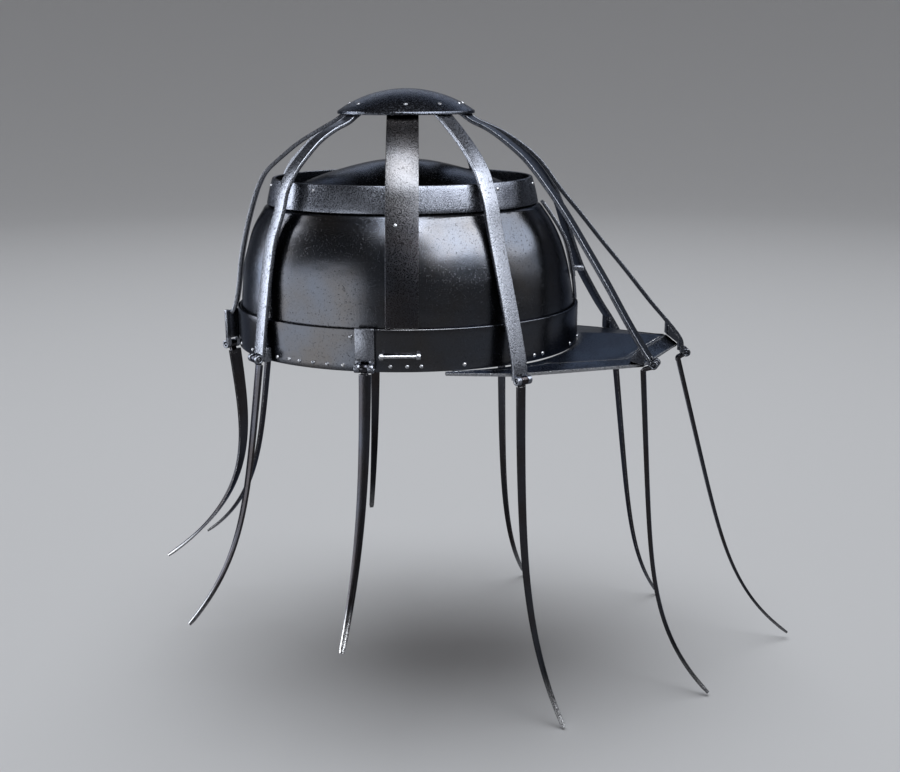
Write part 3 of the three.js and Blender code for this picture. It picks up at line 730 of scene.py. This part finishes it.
def build_strap(side, sign):
    """Forges a broad strap that leans forward a little, with a painted highlight lifted into its colour at
    its bend.
    """
    bm = bmesh.new()
    rows = along_path(STRAP_PATH, STRAP["wide"], STRAP["thick"], STRAP["rows"])
    for row in rows:
        _, out, up = row["at"]
        climb = (up - BAND["high"]) / (DISC["edge"] - BAND["high"])
        row["at"] = (-sign * STRAP["lean"] * climb, out, up)
        # painted highlight, strongest at the bend's level and fading away from it
        row["wear_and_sheen"] = BEND["rubbed_and_sheen"] * math.exp(-((up - BEND["level"]) / BEND["spread"]) ** 2)
    forge(bm, rows, flat_stock(STRAP["wide"], STRAP["thick"], STRAP["corner"]))
    place = Matrix.Translation((0, STRAP["centre"], 0)) @ facing(90 * sign)
    finish(bm, f"{side}_strap", STRAP_STEEL, "root", [f"strap_{side}"], place)


def build_plate(side, sign):
    """Makes a hinge plate: a flat block with two cheeks and a fork below it."""
    azimuth = PLATE["azimuth"] * sign
    axis = hinge_place(f"side_{side}", azimuth)
    face = axis.y - HINGE["stand_off"]
    low, high = top_of_slot(axis), PLATE["high"]
    bm = bmesh.new()
    plain_block(bm, (PLATE["wide"], PLATE["thick"], high - low), (axis.x, face, (high + low) / 2))
    fork(bm, axis, PLATE["wide"], 0.0)
    cheek = (PLATE["wide"] - HINGE["slot"]) / 2
    top = low + PLATE["overlap"]
    for end in (-1, 1):
        middle = (axis.x + end * (HINGE["slot"] + cheek) / 2, face, (top + axis.z) / 2)
        plain_block(bm, (cheek, PLATE["thick"], top - axis.z), middle)
    finish(bm, f"{side}_plate", STRIP_STEEL, "root", [f"plate_side_{side}"], facing(azimuth))


for side_name, side_sign in (("right", 1), ("left", -1)):
    build_strap(side_name, side_sign)
    build_plate(side_name, side_sign)

# %% [markdown]
# ## Peak
#
# The peak is one sheet with a fold that follows its edge, so that it catches the light in facets. It
# starts as a flat grid. Each column of the grid is then moved to its line from the band to the edge, the
# folds are bevelled a little, and the sheet gets its thickness downwards.

# %% Peak
PEAK = [  # azimuth, edge radius, edge height, fold radius, fold height, root height
    (77, 100.6, -0.6, 99.6, -0.2, 0),
    (55, 114.8, -2.6, 107.5, -1.2, -0.6),
    (40, 128, -3.6, 114, -1.2, -0.6),
    (22, 162.6, -5.6, 151, -3, 0.4),
    (0, 186.2, -6.4, 178, 0.2, 2.8),
]
DROOP = {"edge": 4.5, "fold": 2.7, "root": 2.2}  # how much lower the left side hangs
DROOP_WITHIN = {"edge": 70, "root": 50}  # degrees from the brow
FACET_COLUMNS = 8
INNER_ROWS = (0, 0.08, 0.3, 0.5, 0.7, 0.88, 0.975, 1)
OUTER_ROWS = (0.1, 0.5, 0.9, 1)
PEAK_WEAR = {"root": 0.30, "fold": 0.35, "edge": 0.45}
PEAK_SHEET = {"thick": 2.0, "soft_edge": 0.45, "crease": 0.25, "sharp": math.radians(4), "gap": 0.4}


def round_point(azimuth, radius, z):
    """Point at an azimuth, a distance from the middle and a level."""
    turn = math.radians(azimuth)
    return Vector((-radius * math.sin(turn), -radius * math.cos(turn), z))


def peak_corners():
    """Rows of the right side, and then of the left side, which hangs a little lower."""
    left = []
    for azimuth, edge, edge_z, fold, fold_z, root_z in reversed(PEAK[:-1]):
        low, near = azimuth < DROOP_WITHIN["edge"], azimuth < DROOP_WITHIN["root"]
        left.append((-azimuth, edge, edge_z - DROOP["edge"] * low, fold, fold_z - DROOP["fold"] * low,
                     root_z - DROOP["root"] * near))
    return PEAK + left


def peak_line(corners, column):
    """Root, fold and edge points of one column of the sheet."""
    span = min(int(column / FACET_COLUMNS), len(corners) - 2)
    t = column / FACET_COLUMNS - span
    first, second = corners[span], corners[span + 1]
    edge = round_point(first[0], first[1], first[2]).lerp(round_point(second[0], second[1], second[2]), t)
    fold = round_point(first[0], first[3], first[4]).lerp(round_point(second[0], second[3], second[4]), t)
    azimuth = math.degrees(math.atan2(-edge.x, -edge.y))
    root_z = first[5] + (second[5] - first[5]) * t
    return round_point(azimuth, band_radius(azimuth, PEAK_SHEET["gap"]), root_z), fold, edge


def build_peak():
    """Shapes a flat grid into the faceted sheet, with wear on its folds and edge."""
    corners = peak_corners()
    columns, inner, outer = FACET_COLUMNS * (len(corners) - 1), len(INNER_ROWS) - 1, len(OUTER_ROWS)
    bm = bmesh.new()
    bmesh.ops.create_grid(bm, x_segments=columns, y_segments=inner + outer, size=0.5)
    wear_and_sheen = bm.verts.layers.float.new("wear_and_sheen")
    rubbed_and_sheen = {0: PEAK_WEAR["root"], inner: PEAK_WEAR["fold"], inner + outer: PEAK_WEAR["edge"]}
    folds = []
    for vert in bm.verts:
        column = round((vert.co.x + 0.5) * columns)
        line = round((vert.co.y + 0.5) * (inner + outer))
        root, fold, edge = peak_line(corners, column)
        if line <= inner:
            vert.co = root.lerp(fold, INNER_ROWS[line])
        else:
            vert.co = fold.lerp(edge, OUTER_ROWS[line - inner - 1])
        vert[wear_and_sheen] = rubbed_and_sheen.get(line, 0.0)
        if line == inner:
            folds.append(vert)
    creases = [e for e in bm.edges if e.verts[0] in folds and e.verts[1] in folds]
    bmesh.ops.bevel(bm, geom=creases, affect="EDGES", offset=PEAK_SHEET["crease"], segments=1, profile=0.5,
                    material=-1)
    bmesh.ops.recalc_face_normals(bm, faces=bm.faces)
    if sum(f.normal.z for f in bm.faces) < 0:
        bmesh.ops.reverse_faces(bm, faces=bm.faces)
    peak = finish(bm, "peak_sheet", PEAK_STEEL, "root", ["peak"], closed=False,
                  sharp=PEAK_SHEET["sharp"])
    with_wall(peak, PEAK_SHEET["thick"], edge=PEAK_SHEET["soft_edge"])


build_peak()

# %% [markdown]
# ## Front bar and side staple
#
# A bar stands before the skull and narrows to a stem, with a small lug on it. On the right side of the
# band a short rod is held at both ends, as a loop for a strap end. Both are forged like the strips.

# %% Front bar and side staple
FRONT_PATH = [(90.4, 92.4), (96.6, 83.6), (102.4, 74.5), (107, 65), (109.9, 54), (111.9, 43)]
STEM_PATH = [(111.7, 44), (112.9, 36), (113.7, 27.2)]
FRONT = {"wide": 16, "stem": 6, "thick": 2.0}
LUG = {"size": (5, 9, 3.4), "at": (0, 114.6, 47.5), "edge": 0.7}
ROD = {"radius": 1.2, "dome": 0.4, "z": 10.4, "out": 100.6, "front": -7.4, "back": 17.9}
HOLDER = {"inset": 1.4, "half": 1.3, "barrel": 2.2, "bore": 1.1, "wide": 2.4, "high": 2.6, "sunk": 0.05}


def build_front_bar():
    """Forges the bar and its narrow stem, and sets a small lug on it."""
    bm = bmesh.new()
    wide, stem, thick = FRONT["wide"], FRONT["stem"], FRONT["thick"]
    forge(bm, along_path(FRONT_PATH, wide, thick, 40), flat_stock(wide, thick))
    forge(bm, along_path(STEM_PATH, stem, thick, 12), flat_stock(stem, thick))
    plain_block(bm, LUG["size"], LUG["at"], edge=LUG["edge"])
    finish(bm, "front_stay", STRIP_STEEL, "root", ["front_bar"], facing(0))


def build_staple():
    """Makes the rod with a curl and a block that hold it at each end."""
    bm = bmesh.new()
    out, z = ROD["out"], ROD["z"]
    middle, long = (ROD["front"] + ROD["back"]) / 2, ROD["back"] - ROD["front"]
    along_y = Matrix.Rotation(math.pi / 2, 4, "Z")
    pin(bm, long, radius=ROD["radius"], dome=ROD["dome"],
        place=Matrix.Translation((-out, middle, z)) @ along_y)
    for y in (ROD["front"] + HOLDER["inset"], ROD["back"] - HOLDER["inset"]):
        curl(bm, -HOLDER["half"], HOLDER["half"], barrel=HOLDER["barrel"], bore=HOLDER["bore"],
             place=Matrix.Translation((-out, y, z)) @ along_y)
        inner = BAND_WIDE * math.sqrt(1 - (y / BAND_LONG) ** 2) + HOLDER["sunk"]
        plain_block(bm, (out - inner, HOLDER["wide"], HOLDER["high"]), (-(out + inner) / 2, y, z), edge=0.3)
    finish(bm, "side_loop", RIVET_STEEL, "root", ["side_staple"])


build_front_bar()
build_staple()

# %% [markdown]
# ## Hanging bars
#
# The ten long bars are the spider's legs. Each starts as a knuckle between two curls, cranks in under the
# rim, and then draws out into a thin blade that flares at its tip, where it is rubbed bright. The blade
# has a flat back and two slopes in front, so its section is a six-sided face instead of flat stock.

# %% Hanging bars
BARS = {  # azimuth, drop, crank, lean, flare, bend, side, width at the top, turn of the hinge
    "front": (0, 216, 4.7, 58, 33.6, 6.5, 0, 4.6, 0),
    "front_right": (22, 225, 7.2, 16, 36.6, 6, 0, 6, 0),
    "front_left": (-22, 219, 4, 28, 21, 6.5, 0, 6, 0),
    "corner_right": (55, 225, 1.2, 2, 31, 4.6, -11, 6.4, 0),
    "corner_left": (-53.5, 223, 1.2, 3, 30, 5.2, 3, 6.4, 0),
    "rear_right": (145, 167, 2, 24, 33, 5, 2, 6.4, 0),
    "rear_left": (-152, 176, 2, 25, 43, 5, 0, 6.4, 0),
    "rear": (180, 155, 1.6, -14.5, 69, 3.4, 0, 9.4, REAR_TURN),
    "side_right": (101, 166, 1.2, 15, 32, 3.5, 7, 7.4, 0),
    "side_left": (-101, 174, 1.2, 8, 19, 2.5, -2, 7.4, 0),
}
BLADE = {"thick": 3.0, "tip_thick": 2.0, "shoulder": 4.2, "narrowing": 0.50, "draw": 1.3, "rows": 60,
         "blunt": 0.78, "tip_rows": 1.6, "corner": 0.05}
BLADE_SHAPE = [(-0.5, -0.5), (0.5, -0.5), (0.5, 0.1), (0.25, 0.5), (-0.25, 0.5), (-0.5, 0.1)]
WORN_FROM, WORN_TIP = 0.86, 0.3  # the share of the blade where the wear starts, and its strength
WORN_TIPS = {"corner_right": 0.9, "side_right": 0.8, "corner_left": 0.6}
NECK = {"thick": 2.6, "corner": 0.4, "rows": 8}


def blade_section(bm):
    """Six-sided face: a flat back, two narrow sides, and two slopes to a flat front."""
    made = bmesh.ops.create_circle(bm, cap_ends=True, segments=6, radius=1)["verts"]
    for vert, (x, y) in zip(made, BLADE_SHAPE):
        vert.co = (x, y, 0)
    bmesh.ops.bevel(bm, geom=made, affect="VERTICES", offset=BLADE["corner"], segments=2, profile=0.5,
                    material=-1)
    return list(bm.faces)[-1]


def blade_rows(name, axis):
    """Rows of a blade: it leans and flares out, narrows, thins and turns square to the helmet."""
    _, drop, crank, lean, flare, bend, side, wide, turn = BARS[name]
    rows = []
    count = BLADE["rows"]
    for number in range(count + 1):
        t = number / count
        tip = min(1.0, (1 - t) * count / BLADE["tip_rows"] + BLADE["blunt"])
        thick = BLADE["thick"] + (BLADE["tip_thick"] - BLADE["thick"]) * t
        wear_and_sheen = max(0.0, (t - WORN_FROM) / (1 - WORN_FROM))
        rows.append({
            "at": (axis.x + side * t ** 2, axis.y + lean * t + flare * t ** bend - crank,
                   axis.z - BLADE["shoulder"] - (drop - BLADE["shoulder"]) * t),
            "wide": wide * (1 - BLADE["narrowing"] * t ** BLADE["draw"]) * tip, "thick": thick * tip,
            "twist": turn * math.cos(t * math.pi / 2),
            "wear_and_sheen": wear_and_sheen * WORN_TIPS.get(name, WORN_TIP),
        })
    return rows


def neck_rows(crank):
    """Rows of the short bend from the knuckle down into the blade."""
    bends = [(-0.9, -2.1), (-crank * 0.55 - 0.3, -3.2), (-crank, -4.4), (-crank, -6.5)]
    return along_path(bends, HINGE["knuckle"], NECK["thick"], NECK["rows"])


def build_bar(name):
    """Forges a blade, its knuckle and the neck between them, as one piece on the bar's own body."""
    azimuth, _, crank, *_, turn = BARS[name]
    axis = hinge_place(name, azimuth)
    bm = bmesh.new()
    forge(bm, blade_rows(name, axis), blade_section)
    place = Matrix.Translation(axis) @ Matrix.Rotation(turn, 4, "Z")
    half = HINGE["knuckle"] / 2
    curl(bm, -half, half, place=place)
    neck = bmesh.new()
    forge(neck, neck_rows(crank), flat_stock(HINGE["knuckle"], NECK["thick"], NECK["corner"]))
    add_part(bm, neck, place)
    finish(bm, f"{name}_bar", BAR_STEEL, f"leg_{name}", [f"bar_{name}"], facing(azimuth))


for bar_name in BARS:
    build_bar(bar_name)

# %% [markdown]
# ## Rivets
#
# A row of small rivets near the lower edge of the band once held a lining, and single rivets hold the
# strips to the ring and the disc. There are many, so each is a low dome of a few dozen faces, and each
# row is joined into one piece.

# %% Rivets
RIVETS = {"lining": (1.3, 0.8), "plate": (1.5, 0.9), "ring": (1.2, 0.9), "disc": (1.3, 0.6),
          "strap": (1.2, 0.7)}  # radius and height of the head
RIGHT_ROW = [140.5, 135, 130.5, 125, 119.5, 113.5, 96.5, 90.5, 85.5, 70, 42, 38]
LEFT_ROW = [-24 - 11.5 * step for step in range(12)]
END_ROW = [155, 166, 178, 20, 8, -6]
RING_ROW = (132, 44, -40, -70, -132, 168, 12)
LINING_LEVEL, RING_LEVEL, PLATE_RIVET, DISC_RADIUS = 3.6, 106, (110.5, 21.5), 37
STRAP_RIVET = {"out": 90, "back": 7, "level": 88, "facing": (0.97, 0.25)}


def dome(bm, at, outward, radius, high):
    """Head of one rivet, as a flattened ball that looks outwards."""
    part = bmesh.new()
    bmesh.ops.create_uvsphere(part, u_segments=12, v_segments=6, radius=radius)
    bmesh.ops.scale(part, vec=(1, 1, high / radius), verts=part.verts)
    turn = Vector((0, 0, 1)).rotation_difference(Vector(outward)).to_matrix().to_4x4()
    add_part(bm, part, Matrix.Translation(at) @ turn)


def hoop_rivet(bm, azimuth, z, shape, radius, high):
    """Puts a rivet on the face of a hoop, also where the hoop leans inwards."""
    turn = math.radians(azimuth)
    half, wide = shape["half"], shape["half"] * shape["ratio"]
    reach = 1 / math.hypot(math.sin(turn) / wide, math.cos(turn) / half)
    at = round_point(azimuth, reach, z) + Vector((0, shape["middle"], 0))
    outward = Vector((at.x / wide ** 2, (at.y - shape["middle"]) / half ** 2, 0)).normalized()
    level = 2 * (z - shape["low"]) / (shape["high"] - shape["low"]) - 1
    sunk = shape["crown"] * level ** 2 + shape["taper"] * (level + 1) / 2
    dome(bm, at - outward * sunk, outward, radius, high)


def build_rivets():
    """Joins the band's rivets into one piece, and those of ring, disc and straps into another."""
    bm = bmesh.new()
    for azimuth in RIGHT_ROW + LEFT_ROW + END_ROW:
        hoop_rivet(bm, azimuth, LINING_LEVEL, BAND, *RIVETS["lining"])
    hoop_rivet(bm, *PLATE_RIVET, BAND, *RIVETS["plate"])
    finish(bm, "lining_rivets", RIVET_STEEL, "root")
    bm = bmesh.new()
    for azimuth in RING_ROW:
        hoop_rivet(bm, azimuth, RING_LEVEL, RING, *RIVETS["ring"])
    ball, centre = ball_of_disc()
    level = centre + math.sqrt(ball ** 2 - DISC_RADIUS ** 2)
    for azimuth in list(AZIMUTHS.values()) + [90, -90]:
        at = round_point(azimuth, DISC_RADIUS, level)
        dome(bm, at, (at - Vector((0, 0, centre))).normalized(), *RIVETS["disc"])
    across, upward = STRAP_RIVET["facing"]
    for side in (1, -1):
        at = (-STRAP_RIVET["out"] * side, STRAP_RIVET["back"], STRAP_RIVET["level"])
        dome(bm, at, (-across * side, 0, upward), *RIVETS["strap"])
    finish(bm, "ring_rivets", RIVET_STEEL, "root")


build_rivets()

# %% [markdown]
# ## Floor and light
#
# A pale floor runs out of sight, and soft panels stand where the bright shapes on the steel are: two before
# the brow, one high on the right, one overhead, two behind the helmet and one on its left. A few small
# lamps would be simpler, but shiny dark steel shows mostly what it mirrors, so the panels' places and
# sizes matter more than their strength. The room has a light of its own, and the panels are kept off it.

# %% Floor and light
ROOM = {"drop": 0.001, "flat": 3.0, "cove": 2.5, "wall": 5.0}  # in metres
PALE_PAINT = (0.62, 0.62, 0.63, 1)
PANELS = [  # name, place, width, height, power
    ("front_panel", (-0.13, -1.10, 0.36), 0.60, 0.42, 1.6),
    ("high_front_panel", (0.05, -1.02, 0.84), 0.90, 0.80, 15),
    ("high_right_panel", (-0.78, -0.68, 0.84), 1.00, 0.80, 35),
    ("top_panel", (-0.563, 0.0, 1.11), 0.45, 1.10, 26),
    ("rear_panel", (0.20, 1.05, 0.30), 0.50, 0.85, 14),
    ("low_rear_panel", (-0.37, 0.65, -0.02), 0.95, 0.40, 4.2),
    ("left_panel", (0.952, -0.255, 0.64), 1.30, 0.36, 2.6),
]
PANEL_TINT = (0.93, 0.965, 1.0)
AIM = (0, 0, 0.05)
FLOOR_PANEL = {"name": "floor_panel", "place": (0.2, 0.0, 3.0), "wide": 3.0, "high": 3.0, "power": 95}
FLOOR_AIM = (0.2, 0, 0)
WORLD = {"colour": (0.53, 0.50, 0.49, 1), "strength": 0.25}


def build_room():
    """Flat pale floor that curves up into a wall far away."""
    arc = [(ROOM["flat"] + ROOM["cove"] * math.sin(turn), ROOM["cove"] * (1 - math.cos(turn)))
           for turn in (math.pi / 2 * step / 12 for step in range(13))]
    bm = turned([(0, 0)] + arc + [(ROOM["flat"] + ROOM["cove"], ROOM["wall"])], 96)
    bmesh.ops.translate(bm, vec=(0, 0, CAD_BOX[0][2] - ROOM["drop"]), verts=bm.verts)
    mesh = bpy.data.meshes.new("pale_room")
    bm.to_mesh(mesh)
    bm.free()
    mesh.shade_smooth()
    room = bpy.data.objects.new("pale_room", mesh)
    paint = bpy.data.materials.new("pale_paint")
    paint.use_nodes = True
    shader = paint.node_tree.nodes["Principled BSDF"]
    shader.inputs["Base Color"].default_value = PALE_PAINT
    shader.inputs["Roughness"].default_value = 0.9
    mesh.materials.append(paint)
    bpy.context.scene.collection.objects.link(room)
    return room


def hang_panel(room, state, aim, name, place, wide, high, power):
    """Soft panel of light. The room is all that it lights (INCLUDE), or all that it doesn't (EXCLUDE)."""
    light = bpy.data.lights.new(name, "AREA")
    light.shape = "RECTANGLE"
    light.size, light.size_y, light.energy = wide, high, power
    light.color = PANEL_TINT
    panel = bpy.data.objects.new(name, light)
    panel.location = place
    panel.rotation_euler = (Vector(aim) - Vector(place)).to_track_quat("-Z", "Y").to_euler()
    panel.visible_camera = False
    bpy.context.scene.collection.objects.link(panel)
    lit = bpy.data.collections.new(f"lit_by_{name}")
    lit.objects.link(room)
    lit.collection_objects[0].light_linking.link_state = state
    panel.light_linking.receiver_collection = lit


def light_room():
    """Hangs the panels, lights the room by itself, and sets the faint light from all round."""
    room = build_room()
    for panel in PANELS:
        hang_panel(room, "EXCLUDE", AIM, *panel)
    hang_panel(room, "INCLUDE", FLOOR_AIM, **FLOOR_PANEL)
    world = bpy.data.worlds.new("soft_room")
    world.use_nodes = True
    background = world.node_tree.nodes["Background"]
    background.inputs["Color"].default_value = WORLD["colour"]
    background.inputs["Strength"].default_value = WORLD["strength"]
    bpy.context.scene.world = world
    print(len(PANELS) + 1, "panels of light")


light_room()
bpy.context.scene.view_settings.view_transform = "Standard"
